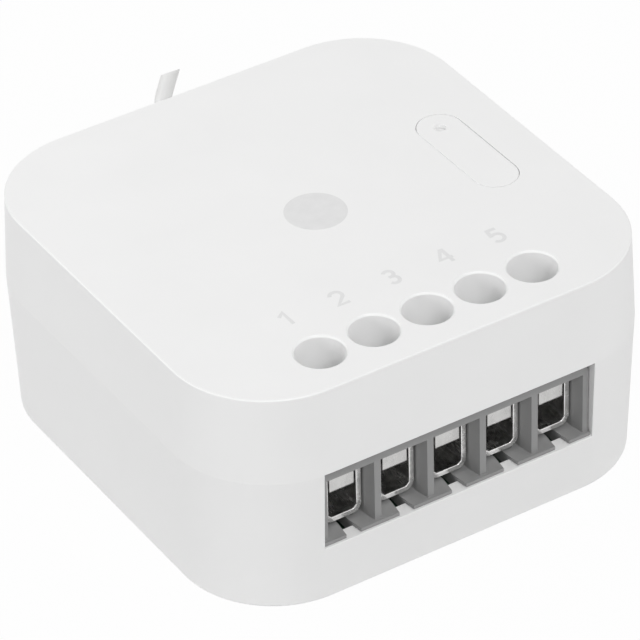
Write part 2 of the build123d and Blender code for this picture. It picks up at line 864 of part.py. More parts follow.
save("lower_case", make_lower_case())
save("top_cover", make_top_cover())
save("terminal_housing", make_terminal_housing())
for number, place in enumerate(terminal_places(), start=1):
    save(f"contact_{number}", make_contact(place))
    save(f"clamp_cage_{number}", make_cage(place))
    save(f"clamp_screw_{number}", make_screw(place))
save("button_key", make_button_key())
save("light_guide", make_light_guide())
save("tact_switch", make_tact_switch())
save("tact_plunger", make_tact_plunger())
save("power_board", make_power_board())
save("control_board", make_control_board())
save("left_header", make_header(control_left + header_inset, control_front + header_end + header_half))
save("right_header", make_header(control_right - header_inset, control_back - header_end - header_half))
save("relay_base", make_relay_base())
save("relay_case", make_relay_case())
save("transformer_foot", make_transformer_foot())
save("transformer_core", make_transformer_core())
save("transformer_winding", make_transformer_winding())
save("input_capacitor", make_can(input_cap_x_share, input_cap_y_share, input_cap_radius_share,
                                 input_cap_height_share * room_height))
save("output_capacitor", make_can(output_cap_x_share, output_cap_y_share, output_cap_radius_share,
                                  output_cap_height_share * deck_height))
save("inductor_core", make_inductor_core())
save("inductor_coil", make_inductor_coil())
save("varistor", make_varistor())
save("film_capacitor", make_film_capacitor())
save("fuse_resistor", make_fuse_resistor())
save("bridge_rectifier", make_chip(bridge_y_share, bridge_length_share, bridge_width_share, bridge_height))
save("optocoupler", make_chip(opto_y_share, opto_length_share, opto_width_share, opto_height))
save("status_light", make_led())
save("radio_board", make_radio_board())
save("radio_shield", make_radio_shield())
save("aerial_wire", make_aerial_wire())
save("aerial_core", make_aerial_core())
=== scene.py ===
import math

import bmesh
import bpy
import numpy as np
from mathutils import Matrix, Vector


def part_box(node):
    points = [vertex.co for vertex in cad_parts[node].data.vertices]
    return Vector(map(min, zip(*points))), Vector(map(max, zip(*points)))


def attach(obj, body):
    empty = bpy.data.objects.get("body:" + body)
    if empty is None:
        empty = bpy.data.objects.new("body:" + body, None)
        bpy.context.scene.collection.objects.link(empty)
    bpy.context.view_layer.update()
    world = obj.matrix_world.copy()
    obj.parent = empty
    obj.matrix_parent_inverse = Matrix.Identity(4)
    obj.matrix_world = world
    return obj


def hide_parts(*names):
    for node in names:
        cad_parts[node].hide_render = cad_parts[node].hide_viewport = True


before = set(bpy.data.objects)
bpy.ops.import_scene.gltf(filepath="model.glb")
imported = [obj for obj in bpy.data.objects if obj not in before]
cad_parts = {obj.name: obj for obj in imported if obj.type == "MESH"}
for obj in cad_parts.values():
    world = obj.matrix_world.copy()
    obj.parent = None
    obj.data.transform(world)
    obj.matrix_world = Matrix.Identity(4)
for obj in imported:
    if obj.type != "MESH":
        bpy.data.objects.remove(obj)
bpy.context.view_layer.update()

# ---------------------------------------------------------------- Camera
# A long lens on the terminal corner, fitted to the outline and the five round holes of the case.
# Its place is given as the turn round the case, the height above the table and a slight roll.

camera_turn = math.radians(-31.6182)
camera_rise = math.radians(36.3873)
camera_roll = math.radians(-1.6986)
camera_distance = 0.3987256
camera_aim = np.array([0.0, 0.0, 0.010])
camera_aim_right = 0.0001177
camera_aim_up = -0.0001963
camera_lens = 268.78
camera_sensor = 36.0
camera_nearest = 0.01
camera_farthest = 20.0

away = np.array([
    math.sin(camera_turn) * math.cos(camera_rise),
    -math.cos(camera_turn) * math.cos(camera_rise),
    math.sin(camera_rise),
])
level_right = np.array([math.cos(camera_turn), math.sin(camera_turn), 0.0])
level_up = np.cross(away, level_right)
right = math.cos(camera_roll) * level_right + math.sin(camera_roll) * level_up
up = math.cos(camera_roll) * level_up - math.sin(camera_roll) * level_right
eye = camera_aim + right * camera_aim_right + up * camera_aim_up + away * camera_distance

camera_data = bpy.data.cameras.new("studio_camera")
camera_data.lens = camera_lens
camera_data.sensor_width = camera_sensor
camera_data.clip_start = camera_nearest
camera_data.clip_end = camera_farthest
camera = bpy.data.objects.new("studio_camera", camera_data)
bpy.context.scene.collection.objects.link(camera)
camera_rows = np.column_stack([right, up, away, eye]).tolist()
camera.matrix_world = Matrix(camera_rows + [[0.0, 0.0, 0.0, 1.0]])
bpy.context.scene.camera = camera
bpy.context.scene.view_settings.view_transform = "Standard"

# ---------------------------------------------------------------- Table and light
# A pale table in an even white room. A large soft lamp hangs in front, a low one on each side
# and a small one behind. Camera and gloss see table and room as white, with a faint shadow.

table_reach = 1.5
table_drop = 0.00002
table_colour = (0.64, 0.64, 0.64, 1.0)
table_white_share = 0.975
room_colour = (1.0, 1.0, 1.0, 1.0)
room_level = 0.385


def seen_directly(tree):
    """1 where the camera, a gloss or a clear piece looks at the surface, 0 where it only lights."""
    path = tree.nodes.new("ShaderNodeLightPath")
    total = path.outputs["Is Camera Ray"]
    for name in ("Is Glossy Ray", "Is Transmission Ray"):
        highest = tree.nodes.new("ShaderNodeMath")
        highest.operation = "MAXIMUM"
        tree.links.new(total, highest.inputs[0])
        tree.links.new(path.outputs[name], highest.inputs[1])
        total = highest.outputs[0]
    return total


room = bpy.data.worlds.new("white_room")
bpy.context.scene.world = room
room.use_nodes = True
room_tree = room.node_tree
room_tree.nodes.clear()
room_light = room_tree.nodes.new("ShaderNodeBackground")
room_light.inputs["Strength"].default_value = room_level
room_seen = room_tree.nodes.new("ShaderNodeBackground")
for shade in (room_light, room_seen):
    shade.inputs["Color"].default_value = room_colour
room_mix = room_tree.nodes.new("ShaderNodeMixShader")
room_out = room_tree.nodes.new("ShaderNodeOutputWorld")
room_tree.links.new(seen_directly(room_tree), room_mix.inputs[0])
room_tree.links.new(room_light.outputs[0], room_mix.inputs[1])
room_tree.links.new(room_seen.outputs[0], room_mix.inputs[2])
room_tree.links.new(room_mix.outputs[0], room_out.inputs[0])

table_corners = [(x * table_reach, y * table_reach, -table_drop)
                 for x, y in ((-1, -1), (1, -1), (1, 1), (-1, 1))]
table_mesh = bpy.data.meshes.new("table")
table_mesh.from_pydata(table_corners, [], [(0, 1, 2, 3)])
table = bpy.data.objects.new("table", table_mesh)
bpy.context.scene.collection.objects.link(table)
table_paint = bpy.data.materials.new("pale_table")
table_paint.use_nodes = True
table_tree = table_paint.node_tree
table_tree.nodes.clear()
table_shade = table_tree.nodes.new("ShaderNodeBsdfDiffuse")
table_shade.inputs["Color"].default_value = table_colour
table_glow = table_tree.nodes.new("ShaderNodeEmission")
table_share = table_tree.nodes.new("ShaderNodeMath")
table_share.operation = "MULTIPLY"
table_share.inputs[1].default_value = table_white_share
table_mix = table_tree.nodes.new("ShaderNodeMixShader")
table_out = table_tree.nodes.new("ShaderNodeOutputMaterial")
table_tree.links.new(seen_directly(table_tree), table_share.inputs[0])
table_tree.links.new(table_share.outputs[0], table_mix.inputs[0])
table_tree.links.new(table_shade.outputs[0], table_mix.inputs[1])
table_tree.links.new(table_glow.outputs[0], table_mix.inputs[2])
table_tree.links.new(table_mix.outputs[0], table_out.inputs[0])
table_mesh.materials.append(table_paint)


def hang_lamp(name, place, size, watts):
    """A square soft lamp at that place, turned to the middle of the case."""
    lamp_data = bpy.data.lights.new(name, "AREA")
    lamp_data.shape = "SQUARE"
    lamp_data.size = size
    lamp_data.energy = watts
    lamp = bpy.data.objects.new(name, lamp_data)
    bpy.context.scene.collection.objects.link(lamp)
    lamp.location = place
    lamp.rotation_mode = "QUATERNION"
    lamp.rotation_quaternion = (Vector(place) - Vector(camera_aim)).to_track_quat("Z", "Y")


hang_lamp("front_lamp", place=(-0.086, -0.669, 0.748), size=0.47, watts=4.4)
hang_lamp("left_lamp", place=(-0.463, 0.082, 0.181), size=0.2, watts=0.54)
hang_lamp("right_lamp", place=(0.454, -0.122, 0.181), size=0.2, watts=0.26)
hang_lamp("back_lamp", place=(-0.07, 0.11, 0.15), size=0.1, watts=0.049)

# ---------------------------------------------------------------- Lower case
# The lower shell is one white moulding with drafted walls, the terminal window and a flat base.
# Its mould was spark-eroded, which leaves a fine even grain; its edges are softly rounded.

shell_colour = (0.945, 0.945, 0.943, 1.0)
shell_edge_round = 0.00009
seam_height = 0.013
seam_share = 0.3
height_slack = 0.00002
merge_distance = 1e-6
flat_angle = math.radians(0.35)
edge_angle = math.radians(32.0)
edge_steps = 3
noise_low, noise_high = 0.3, 0.7
mix_dark_socket, mix_light_socket, mix_colour_socket = 6, 7, 2
patch_detail = 3.0
patch_gloss = (-0.05, 0.03)
grain_detail = 4.0
mark_size = 0.0009
mark_detail = 2.0
mark_stretch = (1.0, 0.25, 1.0)
mark_gloss = (-0.02, 0.03)


def own_surface(node):
    """The node's surface as one mesh: doubled corners are joined and flat faces made whole."""
    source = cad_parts[node].data
    corners = np.empty(len(source.vertices) * 3, np.float32)
    source.vertices.foreach_get("co", corners)
    order = np.empty(len(source.loops), np.int32)
    source.loops.foreach_get("vertex_index", order)
    loose = bpy.data.meshes.new(node + "_surface")
    loose.from_pydata(corners.reshape(-1, 3), [], order.reshape(-1, 3))
    form = bmesh.new()
    form.from_mesh(loose)
    bpy.data.meshes.remove(loose)
    bmesh.ops.remove_doubles(form, verts=form.verts, dist=merge_distance)
    bmesh.ops.dissolve_limit(form, angle_limit=flat_angle, verts=form.verts, edges=form.edges)
    return form


def place_piece(mesh, name, body, material, nodes=(), smooth=True):
    """Puts a finished mesh on its body with its finish, and hides the nodes that it stands for."""
    piece = bpy.data.objects.new(name, mesh)
    bpy.context.scene.collection.objects.link(piece)
    mesh.materials.clear()
    mesh.materials.append(material)
    mesh.polygons.foreach_set("use_smooth", np.full(len(mesh.polygons), smooth))
    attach(piece, body)
    if nodes:
        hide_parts(*nodes)
    return piece


def mark_edges(form, lines=()):
    """Marks sharp edges to be rounded in full, and those along a line by the line's share.

    Each line is a pair of height and share.
    """
    weight = form.edges.layers.float.new("bevel_weight_edge")
    for edge in form.edges:
        if edge.is_manifold and edge.calc_face_angle() > edge_angle:
            heights = [corner.co.z for corner in edge.verts]
            shares = [share for line, share in lines
                      if max(abs(z - line) for z in heights) < height_slack]
            edge[weight] = shares[0] if shares else 1.0


def round_edges(piece, edge_round, steps):
    """A small round on every marked edge of the piece, as a mould or a tumbling drum leaves it."""
    rounding = piece.modifiers.new("edge_round", "BEVEL")
    rounding.width = edge_round
    rounding.segments = steps
    rounding.limit_method = "WEIGHT"
    rounding.use_clamp_overlap = True
    rounding.harden_normals = True
    rounding.miter_outer = "MITER_ARC"


def softened(node, body, material, edge_round, steps=edge_steps, lines=(), shaped=None):
    """A copy of the node's own surface with rounded edges, which stands for the node.

    If a function is given as shaped, it takes the corners and gives them back a little moved.
    """
    form = own_surface(node)
    mark_edges(form, lines)
    mesh = bpy.data.meshes.new(node + "_dressed")
    form.to_mesh(mesh)
    form.free()
    if shaped is not None:
        corners = np.empty(len(mesh.vertices) * 3, np.float32)
        mesh.vertices.foreach_get("co", corners)
        mesh.vertices.foreach_set("co", shaped(corners.reshape(-1, 3)).ravel())
        mesh.update()
    piece = place_piece(mesh, node + "_dressed", body, material, [node])
    round_edges(piece, edge_round, steps)


def finish_start(name, colour, roughness, metal=0.0):
    """A new material with its shader set, and its object coordinates to read patterns from."""
    material = bpy.data.materials.new(name)
    material.use_nodes = True
    tree = material.node_tree
    shader = next(node for node in tree.nodes if node.type == "BSDF_PRINCIPLED")
    shader.inputs["Base Color"].default_value = colour
    shader.inputs["Roughness"].default_value = roughness
    shader.inputs["Metallic"].default_value = metal
    places = tree.nodes.new("ShaderNodeTexCoord").outputs["Object"]
    return material, tree, shader, places


def cloud(tree, places, size, detail, stretch=(1.0, 1.0, 1.0)):
    """Soft noise whose patches are about that size in metres, longer where the stretch is low."""
    mapping = tree.nodes.new("ShaderNodeMapping")
    mapping.inputs["Scale"].default_value = stretch
    tree.links.new(places, mapping.inputs["Vector"])
    noise = tree.nodes.new("ShaderNodeTexNoise")
    noise.inputs["Scale"].default_value = 1.0 / size
    noise.inputs["Detail"].default_value = detail
    tree.links.new(mapping.outputs[0], noise.inputs["Vector"])
    return noise.outputs["Fac"]


def spread(tree, value, low, high):
    """The noise's usual span, noise_low to noise_high, is taken to a span from low to high."""
    scale = tree.nodes.new("ShaderNodeMapRange")
    spans = {"From Min": noise_low, "From Max": noise_high, "To Min": low, "To Max": high}
    for key, number in spans.items():
        scale.inputs[key].default_value = number
    tree.links.new(value, scale.inputs["Value"])
    return scale.outputs[0]


def tint(tree, value, dark, light, shader):
    """The base colour goes from dark to light with the pattern."""
    mix = tree.nodes.new("ShaderNodeMix")
    mix.data_type = "RGBA"
    tree.links.new(spread(tree, value, 0.0, 1.0), mix.inputs[0])
    mix.inputs[mix_dark_socket].default_value = dark
    mix.inputs[mix_light_socket].default_value = light
    tree.links.new(mix.outputs[mix_colour_socket], shader.inputs["Base Color"])


def vary_gloss(tree, slow, slow_span, fine, fine_span, roughness, shader):
    """Roughness as its mean value plus a span from a slow pattern and a span from a fine one."""
    gloss = tree.nodes.new("ShaderNodeMath")
    gloss.operation = "ADD"
    slow_part = spread(tree, slow, roughness + slow_span[0], roughness + slow_span[1])
    tree.links.new(slow_part, gloss.inputs[0])
    tree.links.new(spread(tree, fine, *fine_span), gloss.inputs[1])
    tree.links.new(gloss.outputs[0], shader.inputs["Roughness"])


def relief(tree, height, depth, shader):
    """Bump of that depth in metres from the pattern."""
    bump = tree.nodes.new("ShaderNodeBump")
    bump.inputs["Strength"].default_value = 1.0
    bump.inputs["Distance"].default_value = depth
    tree.links.new(height, bump.inputs["Height"])
    tree.links.new(bump.outputs[0], shader.inputs["Normal"])


def shaded(colour, share):
    """The same colour at a share of its light."""
    return tuple(channel * share for channel in colour[:3]) + (1.0,)


def moulded_plastic(name, colour, roughness, grain_size, grain_depth, patch_share,
                    patch_size=0.006):
    """Moulded plastic: fine mould grain, slow patches in shade and gloss, faint handling marks."""
    material, tree, shader, places = finish_start(name, colour, roughness)
    patches = cloud(tree, places, patch_size, patch_detail)
    dark, light = shaded(colour, 1.0 - patch_share), shaded(colour, 1.0 + patch_share / 2)
    tint(tree, patches, dark, light, shader)
    grain = cloud(tree, places, grain_size, grain_detail)
    marks = cloud(tree, places, mark_size, mark_detail, mark_stretch)
    vary_gloss(tree, patches, patch_gloss, marks, mark_gloss, roughness, shader)
    relief(tree, grain, grain_depth, shader)
    return material


shell_plastic = moulded_plastic("white_shell_plastic", shell_colour, roughness=0.5,
                                grain_size=0.00016, grain_depth=0.0000035, patch_share=0.012)
softened("lower_case", "case", shell_plastic, edge_round=shell_edge_round,
         lines=[(seam_height, seam_share)])

# ---------------------------------------------------------------- Power board
# The mains board is glass-cloth laminate under green lacquer. The cloth's weave shows faintly
# through the lacquer, and two posts of the lower case locate the board.

lacquer_green = (0.003, 0.019, 0.010, 1.0)
lacquer_patch = 0.003
lacquer_detail = 3.0
lacquer_shades = (0.75, 1.35)
lacquer_gloss = (-0.06, 0.08)
lacquer_coat = 0.35
weave_size = 0.0006
weave_depth = 0.000008
weave_wander = 0.6
wave_unit = 0.314


def woven_laminate(name, colour, roughness):
    """Lacquered glass cloth: two crossed sine waves of the weave's size, under patchy lacquer.

    At a scale of 1 the wave texture repeats at every wave_unit.
    """
    material, tree, shader, places = finish_start(name, colour, roughness)
    lacquer = cloud(tree, places, lacquer_patch, lacquer_detail)
    tint(tree, lacquer, *(shaded(colour, share) for share in lacquer_shades), shader)
    heights = []
    for direction in ("X", "Y"):
        threads = tree.nodes.new("ShaderNodeTexWave")
        threads.bands_direction = direction
        threads.inputs["Scale"].default_value = wave_unit / weave_size
        threads.inputs["Distortion"].default_value = weave_wander
        tree.links.new(places, threads.inputs["Vector"])
        heights.append(threads.outputs["Fac"])
    crossed = tree.nodes.new("ShaderNodeMath")
    crossed.operation = "MULTIPLY"
    for socket, height in zip(crossed.inputs, heights):
        tree.links.new(height, socket)
    relief(tree, crossed.outputs[0], weave_depth, shader)
    gloss = spread(tree, lacquer, roughness + lacquer_gloss[0], roughness + lacquer_gloss[1])
    tree.links.new(gloss, shader.inputs["Roughness"])
    shader.inputs["Coat Weight"].default_value = lacquer_coat
    return material


def dress_node(material, node):
    """Gives a CAD node that is shown as it is its finish."""
    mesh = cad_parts[node].data
    mesh.materials.clear()
    mesh.materials.append(material)


board_laminate = woven_laminate("green_board", lacquer_green, roughness=0.42)
dress_node(board_laminate, "power_board")

# ---------------------------------------------------------------- Terminal block
# The block is moulded in one piece of mid-grey flame-proof polyamide, with five cells whose
# tapered mouths lead a wire to the cages. It sits in the case window and is soldered to nothing.

block_colour = (0.3, 0.3, 0.3, 1.0)
block_plastic = moulded_plastic("grey_block_plastic", block_colour, roughness=0.46,
                                grain_size=0.00022, grain_depth=0.000005, patch_share=0.05,
                                patch_size=0.003)
softened("terminal_housing", "case", block_plastic, edge_round=0.00007)

# ---------------------------------------------------------------- Fixed contacts
# Each cell has a stamped and bent bar of nickel-plated brass. Its tab shows at the top of the
# cell, its plate takes the wire, and its pin is soldered to the mains board.

nickel_colour = (0.6, 0.596, 0.588, 1.0)
cell_numbers = range(1, 6)
dull_patch = 0.0012
dull_detail = 4.0
dull_shades = (0.84, 1.08)
dull_gloss = (-0.08, 0.1)
streak_detail = 5.0
streak_gloss = (-0.05, 0.07)


def plated_metal(name, colour, roughness, streak, streak_size, depth):
    """Plated metal: streaks along one axis in its gloss and relief, under slow dull patches."""
    material, tree, shader, places = finish_start(name, colour, roughness, metal=1.0)
    dull = cloud(tree, places, dull_patch, dull_detail)
    tint(tree, dull, *(shaded(colour, share) for share in dull_shades), shader)
    streaks = cloud(tree, places, streak_size, streak_detail, streak)
    vary_gloss(tree, dull, dull_gloss, streaks, streak_gloss, roughness, shader)
    relief(tree, streaks, depth, shader)
    return material


nickel_plate = plated_metal("nickel_plate", nickel_colour, roughness=0.26,
                            streak=(1.0, 1.0, 0.12), streak_size=0.00018, depth=0.000006)
for number in cell_numbers:
    softened(f"contact_{number}", "case", nickel_plate, edge_round=0.0001)

# ---------------------------------------------------------------- Clamping cages
# A cage is bent from steel strip and nickel plated; its corners are rounded by the bend, and its
# thick top is tapped. It rides up the screw and presses the wire against the contact.

cage_colour = (0.9, 0.895, 0.885, 1.0)
cage_edge_round = 0.00018
cage_plate = plated_metal("cage_plate", cage_colour, roughness=0.2,
                          streak=(1.0, 0.12, 1.0), streak_size=0.00022, depth=0.000009)
for number in cell_numbers:
    softened(f"clamp_cage_{number}", f"cage_{number}", cage_plate,
             edge_round=cage_edge_round)

# ---------------------------------------------------------------- Clamp screws
# Each screw is zinc-plated steel with a slotted cross head, under its screwdriver hole. The head
# is cold-headed and the thread rolled: its crests are round and as wide as the shank in the CAD.

zinc_colour = (0.88, 0.885, 0.895, 1.0)
head_height = 0.0013
head_slack = 0.00013
shank_radius = 0.0012
thread_pitch = 0.00045
thread_depth = 0.00016
thread_steps_round = 40
thread_rows_a_turn = 8
tip_bevel = 0.0003


def skin(rows, name):
    """A closed surface over a grid: row to row, last column to first, each end shut by a fan."""
    count, around = rows.shape[:2]
    points = np.concatenate([rows.reshape(-1, 3), rows[:1].mean(1), rows[-1:].mean(1)])
    row, column = np.meshgrid(np.arange(count - 1), np.arange(around), indexing="ij")
    low, low_next = row * around + column, row * around + (column + 1) % around
    quads = np.stack([low, low_next, low_next + around, low + around], -1).reshape(-1, 4)
    ring = np.arange(around)
    ring_next = (ring + 1) % around
    last = (count - 1) * around
    low_fan = np.stack([ring_next, ring, np.full(around, count * around)], -1)
    high_fan = np.stack([ring + last, ring_next + last, np.full(around, count * around + 1)], -1)
    mesh = bpy.data.meshes.new(name)
    mesh.from_pydata(points, [], quads.tolist() + low_fan.tolist() + high_fan.tolist())
    return mesh


def rolled_thread(x, y, low, high):
    """Radius as a cosine of height over pitch less turn, drawn in by a bevel at the tip.

    r = R - d (1 - cos(2 pi h / p - a)) / 2 - max(b - t, 0), with t the height over the tip.
    """
    count = int((high - low) / thread_pitch * thread_rows_a_turn)
    height = np.linspace(low, high, count)[:, None]
    turn = np.linspace(0.0, 2.0 * math.pi, thread_steps_round, endpoint=False)[None, :]
    wave = 0.5 * (1.0 - np.cos(2.0 * math.pi * height / thread_pitch - turn))
    drawn_in = np.clip(tip_bevel - (height - low), 0.0, tip_bevel)
    span = shank_radius - thread_depth * wave - drawn_in
    return np.stack([x + span * np.cos(turn), y + span * np.sin(turn), height + 0.0 * turn], -1)


zinc_plate = plated_metal("zinc_plate", zinc_colour, roughness=0.3,
                          streak=(1.0, 1.0, 0.3), streak_size=0.00012, depth=0.000004)
for number in cell_numbers:
    node, body = f"clamp_screw_{number}", f"screw_{number}"
    lowest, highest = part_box(node)
    centre_x, centre_y = (lowest.x + highest.x) / 2, (lowest.y + highest.y) / 2
    under_head = highest.z - head_height
    form = own_surface(node)
    shank = [corner for corner in form.verts if corner.co.z < under_head - head_slack]
    bmesh.ops.delete(form, geom=shank, context="VERTS")
    bmesh.ops.holes_fill(form, edges=[edge for edge in form.edges if edge.is_boundary])
    head_mesh = bpy.data.meshes.new(node + "_head")
    mark_edges(form)
    form.to_mesh(head_mesh)
    form.free()
    head = place_piece(head_mesh, node + "_head", body, zinc_plate, [node])
    round_edges(head, edge_round=0.00005, steps=2)
    thread = skin(rolled_thread(centre_x, centre_y, lowest.z, under_head), node + "_thread")
    place_piece(thread, node + "_thread", body, zinc_plate)

# ---------------------------------------------------------------- Relay
# A sealed relay: a black base plate with pins under a black case, glued together all round.
# Both are moulded in flame-proof polyester, and the pins are soldered to the mains board.

black_colour = (0.028, 0.028, 0.03, 1.0)
relay_plastic = moulded_plastic("relay_plastic", black_colour, roughness=0.4,
                                grain_size=0.0002, grain_depth=0.000004, patch_share=0.08,
                                patch_size=0.004)
for node in ("relay_base", "relay_case"):
    softened(node, "case", relay_plastic, edge_round=0.00012)

# ---------------------------------------------------------------- Supply transformer
# A ferrite core of two halves on a plastic foot, with its winding under amber tape.
# The halves are ground, clamped together and glued; the foot's pins are soldered.

ferrite_colour = (0.045, 0.044, 0.046, 1.0)
tape_colour = (0.62, 0.33, 0.05, 1.0)
foot_plastic = moulded_plastic("foot_plastic", black_colour, roughness=0.5,
                               grain_size=0.0002, grain_depth=0.000005, patch_share=0.06,
                               patch_size=0.004)
ferrite = moulded_plastic("fired_ferrite", ferrite_colour, roughness=0.62,
                          grain_size=0.00009, grain_depth=0.000009, patch_share=0.12,
                          patch_size=0.0015)
winding_tape = moulded_plastic("winding_tape", tape_colour, roughness=0.28,
                               grain_size=0.0008, grain_depth=0.00003, patch_share=0.12,
                               patch_size=0.002)
softened("transformer_foot", "case", foot_plastic, edge_round=0.00012)
softened("transformer_core", "case", ferrite, edge_round=0.0001)
softened("transformer_winding", "case", winding_tape, edge_round=0.00015)

# ---------------------------------------------------------------- Electrolytic capacitors
# Aluminium cans in a dark shrink sleeve, with a pressed groove above the rubber seal and a bare
# top with a scored cross that lets gas out if the can fails.

sleeve_colour = (0.03, 0.032, 0.045, 1.0)
aluminium_colour = (0.75, 0.75, 0.76, 1.0)
turned_steps = 72
groove_height = 0.0012
groove_reach = 0.0005
groove_depth = 0.00022
groove_steps = 9
sleeve_corner = 0.00035
sleeve_corner_steps = 6
vent_sunk = 0.0001
vent_share = 0.82
vent_fit = 0.98
vent_height_share = 0.9
vent_rings = 24
score_width = 0.00012
score_depth = 0.00009
score_reach = 0.8


def turned(profile, place, name):
    """A round body: each (radius, height) of the profile goes once round the place's upright."""
    radius, height = np.asarray(profile, float)[:, :, None].transpose(1, 0, 2)
    turn = np.linspace(0.0, 2.0 * math.pi, turned_steps, endpoint=False)[None, :]
    rows = np.stack([place[0] + radius * np.cos(turn), place[1] + radius * np.sin(turn),
                     place[2] + height + 0.0 * turn], -1)
    return skin(rows, name)


def sleeve_profile(radius, height):
    """Upright wall with a groove above the seal, and the shrunk sleeve's round rim.

    The groove is d (1 + cos(pi u)) / 2 deep, with u from -1 to 1 over its reach.
    """
    along = np.linspace(-1.0, 1.0, groove_steps)
    groove = np.stack([radius - groove_depth * (1.0 + np.cos(math.pi * along)) / 2,
                       groove_height + groove_reach * along], -1)
    climb = np.linspace(0.0, 0.5 * math.pi, sleeve_corner_steps)
    rim = np.stack([radius - sleeve_corner + sleeve_corner * np.cos(climb),
                    height - sleeve_corner + sleeve_corner * np.sin(climb)], -1)
    seat = [(radius - sleeve_corner, 0.0), (radius, sleeve_corner)]
    mouth = [(vent_share * radius, height), (vent_share * radius, height - vent_sunk)]
    return np.concatenate([seat, groove, rim, mouth])


def scored_vent(place, radius, name):
    """Round plate with a scored cross in its top.

    The scores are d exp(-(u / w)^2) deep, with u the way to the nearer of the two.
    """
    spans = np.linspace(1.0, 1.0 / vent_rings, vent_rings)[:, None] * radius
    turn = np.linspace(0.0, 2.0 * math.pi, turned_steps, endpoint=False)[None, :]
    across, along = spans * np.cos(turn), spans * np.sin(turn)
    nearer = np.minimum(np.abs(across), np.abs(along))
    score = score_depth * np.exp(-(nearer / score_width) ** 2) * (spans < score_reach * radius)
    bottom = place[2] - vent_sunk
    height = bottom + vent_height_share * (vent_sunk - score)
    top = np.stack([place[0] + across, place[1] + along, height], -1)
    base = top[:1] * (1.0, 1.0, 0.0) + (0.0, 0.0, bottom)
    return skin(np.concatenate([base, top]), name)


sleeve_plastic = moulded_plastic("capacitor_sleeve", sleeve_colour, roughness=0.3,
                                 grain_size=0.0006, grain_depth=0.000006, patch_share=0.1,
                                 patch_size=0.003)
pressed_aluminium = plated_metal("pressed_aluminium", aluminium_colour, roughness=0.3,
                                 streak=(1.0, 0.2, 1.0), streak_size=0.0002, depth=0.000004)
for node in ("input_capacitor", "output_capacitor"):
    lowest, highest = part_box(node)
    foot = ((lowest.x + highest.x) / 2, (lowest.y + highest.y) / 2, lowest.z)
    radius = (highest.x - lowest.x) / 2
    can = turned(sleeve_profile(radius, highest.z - lowest.z), foot, node + "_can")
    place_piece(can, node + "_can", "case", sleeve_plastic, [node])
    vent_radius = vent_fit * vent_share * radius
    vent = scored_vent((foot[0], foot[1], highest.z), vent_radius, node + "_vent")
    place_piece(vent, node + "_vent", "case", pressed_aluminium)

# ---------------------------------------------------------------- Drum inductor
# A ferrite drum whose waist carries enamelled copper wire, wound in even layers.
# The drum is pressed and fired, and a drop of glue holds the last turn.

copper_colour = (0.55, 0.19, 0.07, 1.0)
coil_turns = 22
coil_steps_a_turn = 6
coil_wall = 0.00045


def wound_profile(radius, height):
    """Outer wall of round wires side by side, as high as the coil.

    r = R - p / 2 + sqrt(p^2 / 4 - u^2), with p the wire and u the way from its middle.
    """
    pitch = height / coil_turns
    level = np.linspace(0.0, height, coil_turns * coil_steps_a_turn + 1)
    wire = np.clip(np.floor(level / pitch), 0, coil_turns - 1)
    from_middle = level - pitch * (wire + 0.5)
    span = radius - pitch / 2 + np.sqrt(np.maximum(pitch ** 2 / 4 - from_middle ** 2, 0.0))
    inside = radius - coil_wall
    return np.concatenate([[(inside, 0.0)], np.stack([span, level], -1), [(inside, height)]])


enamelled_copper = plated_metal("enamelled_copper", copper_colour, roughness=0.3,
                                streak=(1.0, 1.0, 6.0), streak_size=0.0004, depth=0.00001)
softened("inductor_core", "case", ferrite, edge_round=0.00015, steps=2)
lowest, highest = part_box("inductor_coil")
coil_foot = ((lowest.x + highest.x) / 2, (lowest.y + highest.y) / 2, lowest.z)
coil_profile = wound_profile((highest.x - lowest.x) / 2, highest.z - lowest.z)
coil = turned(coil_profile, coil_foot, "inductor_coil_wound")
place_piece(coil, "inductor_coil_wound", "case", enamelled_copper,
            ["inductor_coil"])

# ---------------------------------------------------------------- Varistor
# A disc of fired zinc oxide between two leads, dipped in blue epoxy. It stands on its leads
# across the mains input and takes up surges.

dip_colour = (0.02, 0.09, 0.33, 1.0)
dipped_epoxy = moulded_plastic("dipped_epoxy", dip_colour, roughness=0.35,
                               grain_size=0.0007, grain_depth=0.00002, patch_share=0.12,
                               patch_size=0.002)
softened("varistor", "case", dipped_epoxy, edge_round=0.00025)

# ---------------------------------------------------------------- Film capacitor
# A wound film capacitor in a yellow plastic box, potted with resin from below.
# The box stands flat on the mains board.

box_colour = (0.72, 0.42, 0.03, 1.0)
box_plastic = moulded_plastic("yellow_box_plastic", box_colour, roughness=0.38,
                              grain_size=0.0003, grain_depth=0.000005, patch_share=0.06,
                              patch_size=0.004)
softened("film_capacitor", "case", box_plastic, edge_round=0.00012)

# ---------------------------------------------------------------- Fusible resistor
# A wound resistor that opens safely, under a thick green cement coat.
# It lies on the mains board, with both leads bent down into it.

coat_colour = (0.05, 0.22, 0.13, 1.0)
cement_coat = moulded_plastic("cement_coat", coat_colour, roughness=0.7,
                              grain_size=0.00025, grain_depth=0.000012, patch_share=0.12,
                              patch_size=0.0015)
softened("fuse_resistor", "case", cement_coat, edge_round=0.00018, steps=2)

# ---------------------------------------------------------------- Rectifier and optocoupler
# The mains rectifier, and the optocoupler that reads the wall switch. Both are transfer-moulded
# epoxy packages with tinned legs, soldered to the mains board.

epoxy_colour = (0.018, 0.018, 0.02, 1.0)
package_epoxy = moulded_plastic("package_epoxy", epoxy_colour, roughness=0.58,
                                grain_size=0.0001, grain_depth=0.000005, patch_share=0.1,
                                patch_size=0.002)
for node in ("bridge_rectifier", "optocoupler"):
    softened(node, "case", package_epoxy, edge_round=0.00006, steps=2)

# ---------------------------------------------------------------- Board headers
# Two black strips on square pins carry the control board over the mains board.
# The strips are moulded round the pins, which are soldered at both ends.

